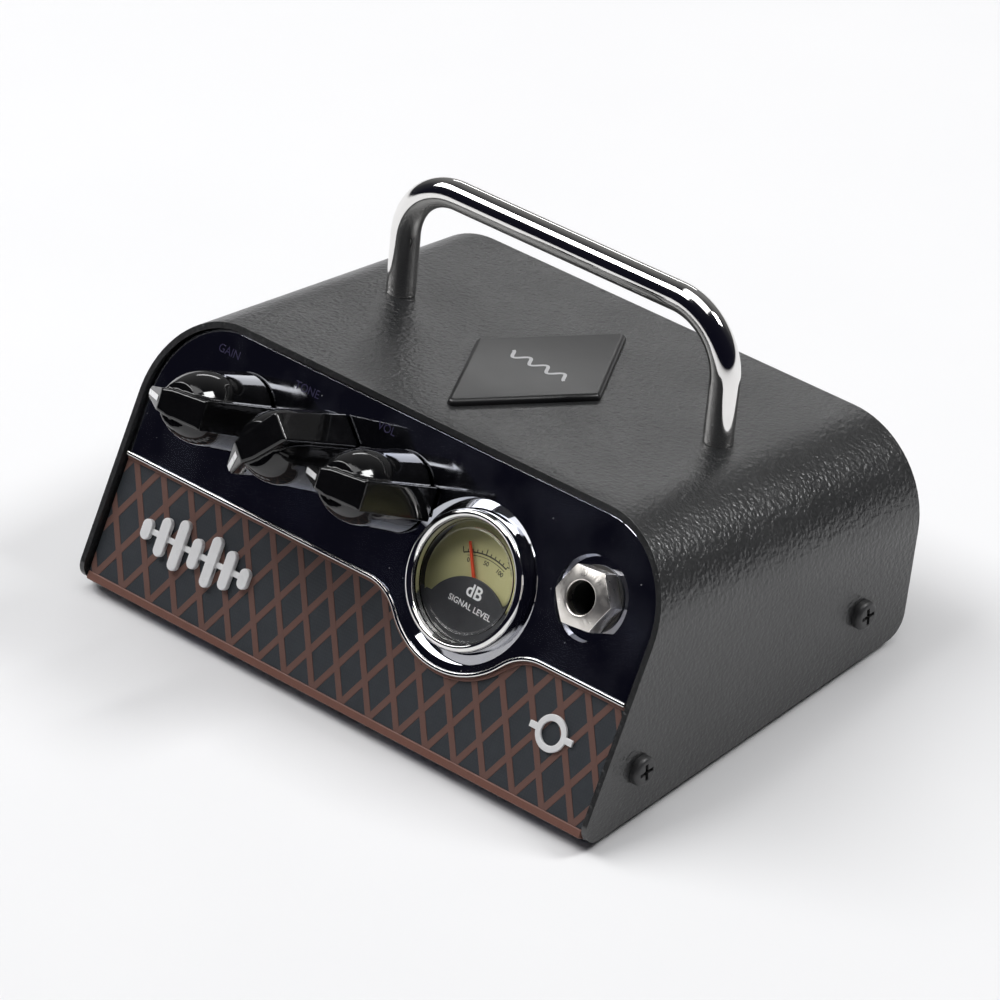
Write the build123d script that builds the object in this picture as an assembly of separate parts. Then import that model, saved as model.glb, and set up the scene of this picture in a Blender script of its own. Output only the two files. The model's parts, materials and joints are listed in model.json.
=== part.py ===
"""Compact guitar amplifier head: a bent steel cover over a raked control panel, with the parts inside.

Design frame, millimetres: +X to the right seen from the front, +Y to the back, +Z up. The raked front plane
meets the lower edge of the cover's sides at y = 0, z = 0. At the end everything moves so that the origin is
the centre of the bottom of the whole object's box.
"""

import os
from math import atan2, cos, pi, radians, sin, sqrt, tan

from build123d import *

# Cover: one sheet bent over the top, sloping down to the back
COVER_WIDTH = 131.5
SHEET = 1.2
BEND_RADIUS = 19.2
FRONT_RAKE = 30.2
FRONT_SLOPE = 61.8
ROOF_PITCH = 10.0
ROOF_LENGTH = 73.5
FRONT_FOOT_RADIUS = 3.5
REAR_FOOT_RADIUS = 5.0
INNER_GAP = 0.25
ARCH_REACH = 120.0

# Front panel and grille, in the plane of the raked front
PANEL_RECESS = 0.8
PANEL_THICKNESS = 3.2
PANEL_EDGE_RADIUS = 1.4
GRILLE_TOP = 29.6
GRILLE_BOTTOM = 2.6
GRILLE_HALF = 64.0
GRILLE_FLOOR = 2.4
GRILLE_FACE = 1.6
DIP_RADIUS = 17.2
DIP_FILLET = 11.5
LIP_WIDTH = 0.9
LIP_TOP = -0.35
PIPING_WIDTH = 0.7
PIPING_TOP = -1.2
LOWER_PIPING = 1.7
LOWER_PIPING_TOP = -1.35

# Raised marks on the grille
EMBLEM_X = -40.3
EMBLEM_S = 17.2
EMBLEM_HALF = 13.0
EMBLEM_BAR = 2.5
EMBLEM_THICKNESS = 1.2
EMBLEM_HEIGHTS = (4.2, 8.0, 10.4, 6.2, 10.4, 8.0, 4.2)
EMBLEM_RAIL = 1.2
MARK_X = 50.6
MARK_S = 18.0
MARK_RING = (3.6, 2.3)
MARK_REACH = 5.2
MARK_LINE = 1.3
MARK_THICKNESS = 0.6

# Meter
METER_X = 21.9
METER_S = 36.8
BEZEL_RADIUS = 13.6
BEZEL_CREST = 1.4
GLASS_RADIUS = 11.6
GLASS_STEP = 10.2
METER_DEPTH = 15.0
DISH_RADIUS = 15.8
BEZEL_SEAT = 1.8
HOUSING_RADIUS = 12.6
HOUSING_BORE = 12.0
RETAINER_RADIUS = 14.8
DIAL_RADIUS = 11.9
MASK_DOME = 10.4
MASK_X = 1.3
MASK_CREST = 0.8
MASK_FOOT = -4.9
PIVOT_DROP = 0.8
NEEDLE_AXLE = 0.4
NEEDLE_LENGTH = 8.4
NEEDLE_LEAN = 30.5

# Controls
KNOB_PITCH = 20.6
KNOB_S = 46.3
KNOB_HEIGHT = 20.5
KNOB_BODY_RADIUS = 8.0
KNOB_BEAK = 10.1
KNOB_TAIL = -9.1
KNOB_BASE = 0.6
KNOB_CAVITY = 3.4
KNOB_FIN_DRAFT = 1.0
KNOB_FIN_ROUND = 0.6
KNOB_SHOULDER = 10.5
KNOB_NAMES = ("gain", "tone", "volume")
KNOB_HEADINGS = (184.0, 228.0, 184.0)
POT_SHAFT = 3.0
POT_BUSHING = 3.5
JACK_X = 49.0
JACK_S = 44.3
JACK_BORE = 3.2
JACK_BUSHING = 4.5
JACK_NUT_FLATS = 11.3
JACK_NUT_TOP = 2.85
JACK_NUT_NOSE = (0.95, 2.9)
JACK_NUT_TURN = 5.0
JACK_WASHER = 6.4
JACK_WELL = 8.3
JACK_WELL_SLOPE = 0.35
JACK_SEAT = 2.3

# Handle and badge, on the roof
HANDLE_CENTRE = 0.6
HANDLE_HALF = 40.6
HANDLE_T = 38.0
HANDLE_RISE = 25.83
HANDLE_LEAN = 2.9
HANDLE_ROD = 3.0
HANDLE_BEND = 13.0
HANDLE_SCREW = 10.0
HANDLE_WASHER = 4.0
BADGE_X = 0.3
BADGE_T = 32.9
BADGE_HALF_WIDTH = 15.8
BADGE_HALF_LENGTH = 27.1
BADGE_THICKNESS = 1.25
BADGE_CORNER = 1.3
BADGE_ROUND = 1.0

# Chassis, feet and screws
CHASSIS_BOTTOM = 2.3
CHASSIS_HALF = 64.25
TAB_TOP = 17.0
FOOT_DROP = 4.0
FOOT_RADIUS = 6.0
FOOT_X = 50.0
FOOT_Y = (18.0, 82.0)
FOOT_RECESS = 2.2
FOOT_RECESS_RADIUS = 3.2
SIDE_SCREWS = ((17.7, 10.0), (83.1, 11.0))
SCREW_HEAD_RADIUS = 3.0
SCREW_HEAD_HEIGHT = 1.75
SCREW_SHANK = 1.45
TAPPED_HOLE = 1.5
CLEAR_HOLE = 1.7
SMALL_HOLE = 1.1
WASHER = 0.8
FAR = 200.0
VENT_LENGTH = 12.0
VENT_WIDTH = 2.6
VENT_PITCH = 9.0
VENT_ROWS = (42.0, 62.0)
VENTS_EACH_SIDE = 3
LIP_TOP_S = 14.0
PANEL_SCREW_X = (-50.0, 50.0)
PANEL_SCREW_S = 10.5

# Rear panel, in its own frame seen from behind; each slide switch has a place and its lever's rest offset
REAR_RECESS = 2.5
REAR_DROP = 21.0
REAR_ROW = 1.0
SLIDE_TRAVEL = 2.0
SLOT_HALF = 3.4
SLOT_HALF_HEIGHT = 1.3
SLIDE_SWITCHES = {"power": (-24.0, 0.0), "eq": (-8.0, -SLIDE_TRAVEL), "attenuator": (6.0, 0.0)}
SPEAKER_X = 46.0
PHONES_X = 26.0
INLET_X = -44.0
INLET_RADIUS = 4.2
INLET_BORE = 2.8
REAR_SCREW_X = (-56.0, 56.0)
REAR_SCREW_V = -14.5

# Boards
BOARD_Z = 8.5
BOARD_THICKNESS = 1.6
BOARD_HALF = 55.0
BOARD_FRONT = 22.0
BOARD_BACK = 86.0
STANDOFF_X = 48.0
STANDOFF_Y = (30.0, 73.0)
STANDOFF_BORE = 1.2
CONTROL_BOARD_DEPTH = 10.2
CAPACITOR_PITCH = 11.0
CAPACITOR_Y = 66.0
SINK_SPAN = (-50.0, -22.0)
SINK_DEPTH = (36.0, 58.0)
SINK_FIN = 1.2
SINK_FINS = 8
CHIP_HEIGHT = 1.2
TUBE_SEAT = 15.0
TUBE_BOARD = 1.4
HEADER_SPAN = (-34.0, -16.0)
RIBBON_X = -25.0
RIBBON_Y = 29.0
RIBBON_S = 41.0

RAKE = radians(FRONT_RAKE)
PITCH = radians(ROOF_PITCH)
BOTTOM = (Align.CENTER, Align.CENTER, Align.MIN)

front = Plane(origin=(0, 0, 0), x_dir=(1, 0, 0), z_dir=(0, -cos(RAKE), sin(RAKE)))
ridge = front.from_local_coords((0, FRONT_SLOPE, 0))
roof = Plane(origin=ridge, x_dir=(1, 0, 0), z_dir=(0, sin(PITCH), cos(PITCH)))
station = Plane(origin=ridge, x_dir=(1, 0, 0), z_dir=-roof.y_dir)
rear = Plane(
    origin=roof.from_local_coords((0, ROOF_LENGTH, -REAR_DROP)), x_dir=(-1, 0, 0), z_dir=roof.y_dir
)
front_face = -PANEL_RECESS
front_back = -PANEL_RECESS - PANEL_THICKNESS
rear_face = -REAR_RECESS
rear_back = -REAR_RECESS - SHEET
chassis_top = CHASSIS_BOTTOM + SHEET
board_top = BOARD_Z + BOARD_THICKNESS
control_board_top = front_face - CONTROL_BOARD_DEPTH
control_board_low = control_board_top - BOARD_THICKNESS


# ---------------------------------------------------------------- simple solids

def disc(radius, low, high, x=0.0, y=0.0):
    """Upright cylinder between two heights."""
    return Pos(x, y, low) * Cylinder(radius, high - low, align=BOTTOM)


def ring(radius, bore, low, high, x=0.0, y=0.0):
    """Upright cylinder with a hole through it."""
    return disc(radius, low, high, x, y) - disc(bore, low - 1, high + 1, x, y)


def block(x_span, y_span, z_span):
    """Box between pairs of limits."""
    size = (x_span[1] - x_span[0], y_span[1] - y_span[0], z_span[1] - z_span[0])
    return Pos(x_span[0], y_span[0], z_span[0]) * Box(*size, align=(Align.MIN, Align.MIN, Align.MIN))


def hex_nut(flats, low, high, bore, nose=(0.6, 1.2)):
    """Hexagonal nut turned off to a cone at its outer end; nose is the cone's height and its width."""
    height = high - low
    corner = flats / sqrt(3)
    prism = extrude(RegularPolygon(flats / 2, 6, major_radius=False), height)
    turned = disc(corner + 0.01, 0, height)
    turned = chamfer(turned.edges().group_by(Axis.Z)[-1], *nose)
    return Pos(0, 0, low) * (prism & turned) - disc(bore, low - 1, high + 1)


def pan_screw(head_radius, head_height, shank_radius, shank_length):
    """Cross-slotted screw with its head above z = 0 and its shank below."""
    head = disc(head_radius, 0, head_height)
    head = fillet(head.edges().group_by(Axis.Z)[-1], head_height * 0.55)
    for turn in (0, 90):
        slot = Box(head_radius * 1.2, head_radius * 0.26, head_height * 1.2)
        head -= Pos(0, 0, head_height) * Rot(0, 0, turn) * slot
    return head + disc(shank_radius, -shank_length, 0)


def group(solids):
    """Several separate solids kept as one node."""
    return Compound(children=list(solids))


# ---------------------------------------------------------------- cover, handle and badge

def arch(inset, start, end):
    """Everything under the cover's skin less an inset, between two stations along the roof."""
    sheet = Rectangle(COVER_WIDTH - 2 * inset, ARCH_REACH, align=(Align.CENTER, Align.MAX))
    sheet = fillet(sheet.vertices().group_by(Axis.Y)[-1], BEND_RADIUS - inset)
    return station.location * Pos(0, -inset, -end) * extrude(sheet, end - start)


def side_profile():
    """Prism with the outline of the amplifier's side, its two lower corners rounded."""
    back = roof.from_local_coords((0, ROOF_LENGTH, 0))
    heel = back.Y - back.Z * tan(PITCH)
    outline = Polygon((0, 0), (ridge.Y, ridge.Z), (back.Y, back.Z), (heel, 0), align=None)
    outline = fillet(outline.vertices().sort_by_distance((0, 0, 0))[0], FRONT_FOOT_RADIUS)
    outline = fillet(outline.vertices().sort_by_distance((heel, 0, 0))[0], REAR_FOOT_RADIUS)
    return extrude(Plane.YZ * outline, COVER_WIDTH, both=True)


def screw_places():
    """Frames on the cover's sides, pointing out, one for each side screw."""
    return [
        Plane(origin=(side * COVER_WIDTH / 2, y, z), z_dir=(side, 0, 0))
        for side in (-1, 1)
        for y, z in SIDE_SCREWS
    ]


def make_cover():
    skin = arch(0, -ARCH_REACH, ROOF_LENGTH) - arch(SHEET, -2 * ARCH_REACH, 2 * ROOF_LENGTH)
    cover = skin & side_profile()
    for place in screw_places():
        cover -= place.location * disc(CLEAR_HOLE, -2 * SHEET, SHEET)
    for x in handle_columns():
        cover -= roof.location * disc(CLEAR_HOLE, -2 * SHEET, SHEET, x, HANDLE_T)
    return cover


def handle_columns():
    """Across positions of the handle's two feet."""
    return [HANDLE_CENTRE - HANDLE_HALF, HANDLE_CENTRE + HANDLE_HALF]


def make_handle():
    """Round rod bent to a bracket that leans a little forward, its feet cut flat on the roof."""
    left, right = handle_columns()
    sunk = -HANDLE_ROD
    corners = [(left, sunk), (left, HANDLE_RISE), (right, HANDLE_RISE), (right, sunk)]
    path = FilletPolyline(*corners, radius=HANDLE_BEND)
    rod = sweep(Plane(origin=path @ 0, z_dir=path % 0) * Circle(HANDLE_ROD), path=path)
    lean = radians(HANDLE_LEAN)
    facing = -roof.y_dir * cos(lean) - roof.z_dir * sin(lean)
    foot = roof.from_local_coords((0, HANDLE_T, 0))
    handle = Plane(origin=foot, x_dir=(1, 0, 0), z_dir=facing).location * rod
    handle -= roof.location * block((-FAR, FAR), (0, ROOF_LENGTH), (-2 * HANDLE_ROD, 0))
    for x in handle_columns():
        handle -= roof.location * disc(TAPPED_HOLE, -1, HANDLE_SCREW, x, HANDLE_T)
    return handle


def make_handle_washers():
    return group(
        roof.location * ring(HANDLE_WASHER, CLEAR_HOLE, -SHEET - WASHER, -SHEET, x, HANDLE_T)
        for x in handle_columns()
    )


def make_handle_screws():
    screw = Rot(180, 0, 0) * pan_screw(2.8, 1.8, SCREW_SHANK, HANDLE_SCREW)
    return group(roof.location * Pos(x, HANDLE_T, -SHEET - WASHER) * screw for x in handle_columns())


def make_side_screws():
    screw = pan_screw(SCREW_HEAD_RADIUS, SCREW_HEAD_HEIGHT, SCREW_SHANK, 6.0)
    return group(place.location * screw for place in screw_places())


def make_badge():
    """Diamond plate with softly rounded corners and upper edge."""
    corners = [
        (0, -BADGE_HALF_LENGTH),
        (BADGE_HALF_WIDTH, 0),
        (0, BADGE_HALF_LENGTH),
        (-BADGE_HALF_WIDTH, 0),
    ]
    plate = Polygon(*corners, align=None)
    plate = extrude(fillet(plate.vertices(), BADGE_CORNER), BADGE_THICKNESS)
    plate = fillet(plate.edges().group_by(Axis.Z)[-1], BADGE_ROUND)
    return roof.location * Pos(BADGE_X, BADGE_T, 0) * plate


# ---------------------------------------------------------------- front panel and grille

def grille_outline(inset, bottom, half):
    """Grille area: straight along the top except where it dips round under the meter."""
    top = GRILLE_TOP - inset
    dip = DIP_RADIUS + inset
    shoulder = DIP_FILLET - inset
    drop = METER_S - (GRILLE_TOP - DIP_FILLET)
    reach = sqrt((DIP_RADIUS + DIP_FILLET) ** 2 - drop**2)
    meeting = atan2(drop, reach)
    middle = (meeting + pi / 2) / 2
    bulge_x = reach - shoulder * cos(middle)
    bulge_s = top - shoulder + shoulder * sin(middle)
    hollow_x = dip * cos(meeting)
    hollow_s = METER_S - dip * sin(meeting)
    edges = [
        Polyline((METER_X - reach, top), (-half, top), (-half, bottom)),
        Polyline((-half, bottom), (half, bottom), (half, top), (METER_X + reach, top)),
    ]
    for side in (-1, 1):
        start = (METER_X + side * reach, top)
        end = (METER_X + side * hollow_x, hollow_s)
        edges.append(ThreePointArc(start, (METER_X + side * bulge_x, bulge_s), end))
    under = (METER_X, METER_S - dip)
    edges.append(ThreePointArc((METER_X - hollow_x, hollow_s), under, (METER_X + hollow_x, hollow_s)))
    return make_face(Curve() + edges)


def grille_layer(outer, inner, bottom, low, high):
    """Strip along the grille's upper edge, between two insets."""
    area = grille_outline(outer, bottom, GRILLE_HALF) - grille_outline(inner, bottom, GRILLE_HALF)
    return front.location * Pos(0, 0, low) * extrude(area, high - low)


def make_front_panel():
    slab = front.location * block((-COVER_WIDTH, COVER_WIDTH), (GRILLE_BOTTOM, 90), (front_back, front_face))
    panel = slab & arch(SHEET + INNER_GAP, -ARCH_REACH, ROOF_LENGTH)
    window = extrude(grille_outline(0, -5, COVER_WIDTH), PANEL_THICKNESS)
    panel -= front.location * Pos(0, 0, -GRILLE_FLOOR) * window
    rim = [
        edge
        for edge in panel.edges().group_by(Axis(front.origin, front.z_dir))[-1]
        if front.to_local_coords(edge.center()).Y > GRILLE_TOP + 1
    ]
    panel = fillet(rim, PANEL_EDGE_RADIUS)
    dish = Cone(BEZEL_RADIUS + 0.3, DISH_RADIUS, BEZEL_SEAT - PANEL_RECESS, align=BOTTOM)
    panel -= front.location * Pos(METER_X, METER_S, -BEZEL_SEAT) * dish
    panel -= front.location * disc(HOUSING_RADIUS + 0.05, front_back - 1, 1, METER_X, METER_S)
    well = Cone(JACK_WELL - JACK_WELL_SLOPE, JACK_WELL, JACK_SEAT - PANEL_RECESS, align=BOTTOM)
    panel -= front.location * Pos(JACK_X, JACK_S, -JACK_SEAT) * well
    panel -= front.location * disc(JACK_BUSHING + 0.1, front_back - 1, 1, JACK_X, JACK_S)
    for x in knob_columns():
        panel -= front.location * disc(POT_BUSHING + 0.1, front_back - 1, 1, x, KNOB_S)
    for x in PANEL_SCREW_X:
        panel -= front.location * disc(1.0, front_back - 1, front_back + 1.0, x, PANEL_SCREW_S)
    return panel


def make_lip():
    return grille_layer(0.05, LIP_WIDTH, GRILLE_BOTTOM, -GRILLE_FLOOR, LIP_TOP)


def make_piping():
    """Thin piping under the lip and a wider strip along the bottom of the grille."""
    upper = grille_layer(LIP_WIDTH, LIP_WIDTH + PIPING_WIDTH, GRILLE_BOTTOM, -GRILLE_FLOOR, PIPING_TOP)
    span = (GRILLE_BOTTOM, GRILLE_BOTTOM + LOWER_PIPING)
    strip = block((-GRILLE_HALF, GRILLE_HALF), span, (-GRILLE_FLOOR, LOWER_PIPING_TOP))
    strip = fillet(strip.edges().filter_by(Axis.X).group_by(Axis.Z)[-1], 0.25)
    return group([upper, front.location * strip])


def make_grille():
    area = grille_outline(LIP_WIDTH + PIPING_WIDTH, GRILLE_BOTTOM + LOWER_PIPING, GRILLE_HALF)
    return front.location * Pos(0, 0, -GRILLE_FLOOR) * extrude(area, GRILLE_FLOOR - GRILLE_FACE)


def make_emblem():
    """Raised sound-wave emblem: upright bars of changing height on one thin rail."""
    half_rail = EMBLEM_RAIL / 2
    rail = block((-EMBLEM_HALF, EMBLEM_HALF), (-half_rail, half_rail), (0, EMBLEM_THICKNESS * 0.6))
    count = len(EMBLEM_HEIGHTS)
    pitch = 2 * EMBLEM_HALF / (count - 1)
    for index, height in enumerate(EMBLEM_HEIGHTS):
        bar = SlotOverall(height, EMBLEM_BAR, rotation=90)
        rail += Pos(-EMBLEM_HALF + index * pitch, 0, 0) * extrude(bar, EMBLEM_THICKNESS)
    return front.location * Pos(EMBLEM_X, EMBLEM_S, -GRILLE_FACE) * rail


def make_side_mark():
    """Small raised mark: a ring with a short line out of each side."""
    outer, inner = MARK_RING
    line = block((-MARK_REACH, MARK_REACH), (-MARK_LINE / 2, MARK_LINE / 2), (0, MARK_THICKNESS))
    mark = disc(outer, 0, MARK_THICKNESS) + line
    mark -= disc(inner, -1, 1)
    return front.location * Pos(MARK_X, MARK_S, -GRILLE_FACE) * mark


# ---------------------------------------------------------------- meter

def at_meter(shape):
    """Places a shape built round the meter's own centre."""
    return front.location * Pos(METER_X, METER_S, 0) * shape


def make_meter_bezel():
    """Thin rounded ring that holds the glass and sits on the dish's floor."""
    rim = Polyline(
        (GLASS_RADIUS, -0.8), (GLASS_RADIUS, -BEZEL_SEAT), (BEZEL_RADIUS, -BEZEL_SEAT), (BEZEL_RADIUS, 0.2)
    )
    crest = (BEZEL_RADIUS - 1.0, BEZEL_CREST)
    outer = ThreePointArc((BEZEL_RADIUS, 0.2), (BEZEL_RADIUS - 0.3, 1.05), crest)
    inner = ThreePointArc(crest, (GLASS_RADIUS + 0.3, 0.7), (GLASS_RADIUS, -0.8))
    section = Plane.XZ * make_face(Curve() + [rim, outer, inner])
    return at_meter(revolve(section, Axis.Z))


def make_meter_glass():
    """Clear pane whose middle stands a step above its edge."""
    pane = disc(GLASS_RADIUS, -1.7, -1.2) + disc(GLASS_STEP, -1.2, -0.6)
    return at_meter(chamfer(pane.edges().group_by(Axis.Z)[-1], 0.35))


def make_meter_mask():
    """Plate below the scale, with a domed hump over the needle's pivot."""
    hump = disc(MASK_DOME, -2.9, -2.3, MASK_X, MASK_CREST - MASK_DOME)
    plate = hump + block((-BEZEL_RADIUS, BEZEL_RADIUS), (-BEZEL_RADIUS, MASK_FOOT), (-2.9, -2.3))
    return at_meter(plate & disc(DIAL_RADIUS, -3, -2))


def make_meter_dial():
    dial = disc(DIAL_RADIUS, -5.2, -4.6)
    return at_meter(dial - disc(NEEDLE_AXLE + 0.06, -6, -4, 0, -PIVOT_DROP))


def make_meter_housing():
    cup = disc(HOUSING_RADIUS, -METER_DEPTH, -BEZEL_SEAT) - disc(HOUSING_BORE, 1 - METER_DEPTH, 0)
    return at_meter(cup)


def make_meter_movement():
    coil = disc(7.5, 1 - METER_DEPTH, -5.2) + block((-9.5, 9.5), (-2.5, 2.5), (1 - METER_DEPTH, -8.0))
    return at_meter(coil - disc(NEEDLE_AXLE + 0.06, -10, -5, 0, -PIVOT_DROP))


def make_meter_needle():
    pointer = Polygon((-0.35, -2.6), (0.35, -2.6), (0.22, NEEDLE_LENGTH), (-0.22, NEEDLE_LENGTH), align=None)
    needle = Pos(0, 0, -3.9) * extrude(pointer, 0.4) + disc(1.3, -4.1, -3.2)
    needle += disc(NEEDLE_AXLE, -9.5, -3.5)
    return at_meter(Pos(0, -PIVOT_DROP, 0) * Rot(0, 0, NEEDLE_LEAN) * needle)


def make_meter_retainer():
    return at_meter(ring(RETAINER_RADIUS, HOUSING_RADIUS + 0.05, front_back - 1.6, front_back))


# ---------------------------------------------------------------- controls

def knob_columns():
    """Across positions of the three knobs, left to right."""
    return [(index - 2) * KNOB_PITCH for index in range(3)]


def at_knob(index, shape):
    """Places a shape built round a knob's own axis, its zero height on the panel's face."""
    return front.location * Pos(knob_columns()[index], KNOB_S, front_face) * shape


def make_pot_shaft():
    shaft = disc(POT_SHAFT, -8.0, 15.0) - block((-5, 5), (1.6, 5), (3.6, 16))
    return chamfer(shaft.edges().group_by(Axis.Z)[-1], 0.3)


def make_knob():
    """Pointer knob: domed round body crossed by a fin whose nose slopes down to the pointing end."""
    crown = KNOB_HEIGHT + PANEL_RECESS
    waist = KNOB_BODY_RADIUS - 0.6
    side = Polyline((0, KNOB_BASE), (KNOB_BODY_RADIUS, KNOB_BASE), (waist, KNOB_SHOULDER))
    shoulder = ThreePointArc((waist, KNOB_SHOULDER), (6.6, 15.6), (4.4, crown - 1.6))
    roof_line = Polyline((4.4, crown - 1.6), (0, crown - 1.3), (0, KNOB_BASE))
    body = revolve(Plane.XZ * make_face(Curve() + [side, shoulder, roof_line]), Axis.Z)
    profile = Polygon(
        (KNOB_TAIL, KNOB_BASE),
        (KNOB_TAIL + 1.5, crown),
        (3.4, crown),
        (KNOB_BEAK, crown - 5.0),
        (KNOB_BODY_RADIUS, KNOB_BASE),
        align=None,
    )
    plan = Polygon(
        (KNOB_TAIL, -3.4),
        (1.0, -3.1),
        (KNOB_BEAK, -1.35),
        (KNOB_BEAK, 1.35),
        (1.0, 3.1),
        (KNOB_TAIL, 3.4),
        align=None,
    )
    fin = extrude(Plane.XZ * profile, KNOB_BODY_RADIUS, both=True)
    fin &= extrude(plan, crown, taper=KNOB_FIN_DRAFT)
    fin = fillet(fin.edges().filter_by(GeomType.LINE).group_by(Axis.Z)[-1], KNOB_FIN_ROUND)
    knob = body + fin
    knob -= disc(6.7, 0, KNOB_CAVITY)
    return knob - make_pot_shaft()


def make_pot():
    case = block((-5.0, 5.0), (-6.5, 5.5), (-CONTROL_BOARD_DEPTH, -PANEL_THICKNESS))
    pot = case + disc(POT_BUSHING, -PANEL_THICKNESS, 2.9)
    return pot - disc(POT_SHAFT + 0.06, -9.0, 3.5)


def make_pot_washers():
    return group(at_knob(index, ring(5.6, POT_BUSHING + 0.05, 0, 0.5)) for index in range(3))


def make_pot_nuts():
    return group(at_knob(index, hex_nut(10.0, 0.5, 2.6, POT_BUSHING)) for index in range(3))


def make_jack(face, back, tip, depth):
    """Quarter-inch jack: a moulded case behind a panel and a bored bushing through it."""
    case = block((-7.5, 7.5), (-7.0, 7.0), (back - depth, back))
    case = fillet(case.edges().filter_by(Axis.Z), 1.0)
    bushing = disc(JACK_BUSHING, back, tip)
    return case + bushing - disc(JACK_BORE, back - depth + 1.5, tip + 1)


def at_jack(shape):
    """Places a shape built round the input jack's axis."""
    return front.location * Pos(JACK_X, JACK_S, 0) * shape


def make_input_jack():
    return at_jack(make_jack(front_face, front_back, 0.6, 19.0))


def make_input_washer():
    return at_jack(ring(JACK_WASHER, JACK_BUSHING, -JACK_SEAT, -JACK_SEAT + 0.4))


def make_input_nut():
    """Tall nut that closes over the bushing's end and leaves only the bore open."""
    nut = hex_nut(JACK_NUT_FLATS, -JACK_SEAT + 0.4, JACK_NUT_TOP, JACK_BORE, JACK_NUT_NOSE)
    nut -= disc(JACK_BUSHING, -JACK_SEAT, 0.6)
    mouth = nut.edges().filter_by(GeomType.CIRCLE).group_by(Axis.Z)[-1].sort_by(SortBy.RADIUS)[0]
    return at_jack(Rot(0, 0, JACK_NUT_TURN) * fillet(mouth, 0.35))


# ---------------------------------------------------------------- chassis and rear panel

def above(height):
    """Half space over a level, as a large block."""
    return block((-FAR, FAR), (-FAR, FAR), (height, FAR))


def make_chassis():
    length = roof.from_local_coords((0, ROOF_LENGTH, 0)).Y
    wide = (-CHASSIS_HALF, CHASSIS_HALF)
    tray = block(wide, (0, length), (CHASSIS_BOTTOM, chassis_top))
    for side in (-1, 1):
        edge = sorted((side * CHASSIS_HALF, side * (CHASSIS_HALF - SHEET)))
        tray += block(edge, (0, length), (CHASSIS_BOTTOM, TAB_TOP))
    tray -= front.location * block((-FAR, FAR), (-FAR, FAR), (front_back, FAR))
    tray -= rear.location * block((-FAR, FAR), (-FAR, FAR), (rear_back, FAR))
    lip = front.location * block(wide, (0, LIP_TOP_S), (front_back - SHEET, front_back))
    flange = rear.location * block(wide, (-60, -10.5), (rear_back - SHEET, rear_back))
    tray += (lip + flange) & above(CHASSIS_BOTTOM)
    for place in screw_places():
        tray -= place.location * disc(CLEAR_HOLE, -2 * SHEET - 1, 1)
    for x in PANEL_SCREW_X:
        tray -= front.location * disc(SMALL_HOLE, front_back - 3, front_back + 1, x, PANEL_SCREW_S)
    for x in REAR_SCREW_X:
        tray -= rear.location * disc(SMALL_HOLE, rear_back - 3, rear_back + 1, x, REAR_SCREW_V)
    for x, y in foot_places():
        tray -= disc(TAPPED_HOLE, CHASSIS_BOTTOM - 1, chassis_top + 1, x, y)
    for x, y in standoff_places():
        tray -= disc(STANDOFF_BORE, CHASSIS_BOTTOM - 1, chassis_top + 1, x, y)
    slot = extrude(SlotOverall(VENT_LENGTH, VENT_WIDTH, rotation=90), 4)
    for column in range(-VENTS_EACH_SIDE, VENTS_EACH_SIDE + 1):
        for y in VENT_ROWS:
            tray -= Pos(column * VENT_PITCH, y, CHASSIS_BOTTOM - 1) * slot
    return tray


def make_clinch_nuts():
    """Threaded inserts pressed in the chassis tabs, one behind each side screw."""
    inner = -(COVER_WIDTH / 2 - CHASSIS_HALF) - SHEET
    return group(place.location * ring(3.0, TAPPED_HOLE, inner - 2.2, inner) for place in screw_places())


def foot_places():
    return [(x, y) for x in (-FOOT_X, FOOT_X) for y in FOOT_Y]


def standoff_places():
    return [(x, y) for x in (-STANDOFF_X, STANDOFF_X) for y in STANDOFF_Y]


def make_feet():
    foot = disc(FOOT_RADIUS, -FOOT_DROP, 0)
    foot = chamfer(foot.edges().group_by(Axis.Z)[0], 0.8)
    foot -= disc(FOOT_RECESS_RADIUS, -FOOT_DROP - 1, -FOOT_DROP + FOOT_RECESS)
    foot -= disc(TAPPED_HOLE, -FOOT_DROP, 1)
    return group(Pos(x, y, CHASSIS_BOTTOM) * foot for x, y in foot_places())


def make_feet_screws():
    screw = Rot(180, 0, 0) * pan_screw(2.8, 1.4, SCREW_SHANK, 4.4)
    seat = CHASSIS_BOTTOM - FOOT_DROP + FOOT_RECESS
    return group(Pos(x, y, seat) * screw for x, y in foot_places())


def make_panel_screws():
    """Small screws through the chassis lip into the back of the front panel."""
    screw = Rot(180, 0, 0) * pan_screw(1.9, 1.3, 0.95, 1.9)
    return group(
        front.location * Pos(x, PANEL_SCREW_S, front_back - SHEET) * screw for x in PANEL_SCREW_X
    )


def switch_columns():
    """Across positions of the slide switches."""
    return [x for x, _ in SLIDE_SWITCHES.values()]


def switch_slot(depth):
    """Space a slide switch's lever runs in, from a depth out through the panel."""
    return block((-SLOT_HALF, SLOT_HALF), (-SLOT_HALF_HEIGHT, SLOT_HALF_HEIGHT), (depth, 1))


def make_rear_panel():
    panel = arch(SHEET + INNER_GAP, ROOF_LENGTH + rear_back, ROOF_LENGTH + rear_face) & above(chassis_top)
    cutters = [disc(JACK_BUSHING + 0.1, rear_back - 1, 1, x, REAR_ROW) for x in (SPEAKER_X, PHONES_X)]
    cutters.append(disc(INLET_RADIUS + 0.1, rear_back - 1, 1, INLET_X, REAR_ROW))
    for x in switch_columns():
        cutters.append(Pos(x, REAR_ROW, 0) * switch_slot(rear_back - 1))
    for x in REAR_SCREW_X:
        cutters.append(disc(SMALL_HOLE, rear_back - 1, 1, x, REAR_SCREW_V))
    for cutter in cutters:
        panel -= rear.location * cutter
    return panel


def make_rear_screws():
    screw = pan_screw(2.1, 1.4, 1.05, 4.0)
    return group(rear.location * Pos(x, REAR_SCREW_V, rear_face) * screw for x in REAR_SCREW_X)


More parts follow.
